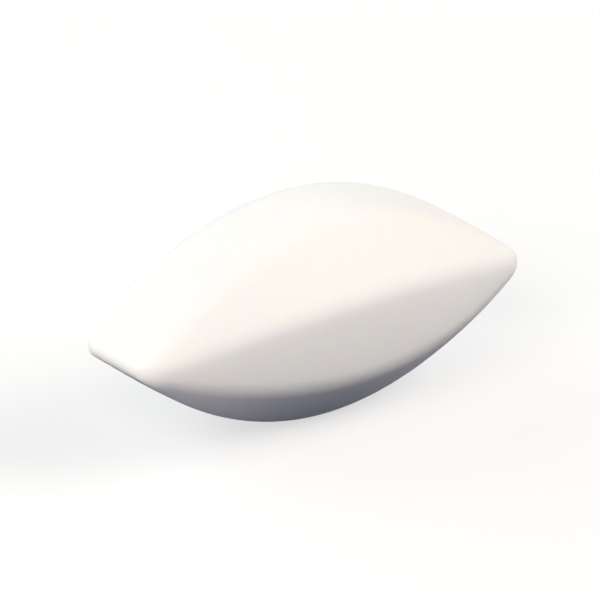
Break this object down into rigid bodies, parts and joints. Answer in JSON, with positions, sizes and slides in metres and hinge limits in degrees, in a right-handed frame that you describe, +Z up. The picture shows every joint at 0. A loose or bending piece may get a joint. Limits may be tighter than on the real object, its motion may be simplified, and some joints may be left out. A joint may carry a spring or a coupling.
{
  "type": "magnetic stir bar",
  "caption": "Oval magnetic stir bar: a bar magnet sealed in a smooth white faceted jacket that tapers to a blunt edge at each end.",
  "frame": {"origin": "the middle of the lowest facet, where the bar touches the surface that it lies on", "axes": "+X along the bar, +Y across it and along its end edges, +Z up"},
  "size_m": [0.035, 0.016, 0.016],
  "materials": {
    "jacket": "satin white moulded fluoropolymer",
    "magnet": "ground cast magnet alloy"
  },
  "bodies": {
    "root": {"jacket": "jacket", "bar_magnet": "magnet"}
  },
  "joints": []
}
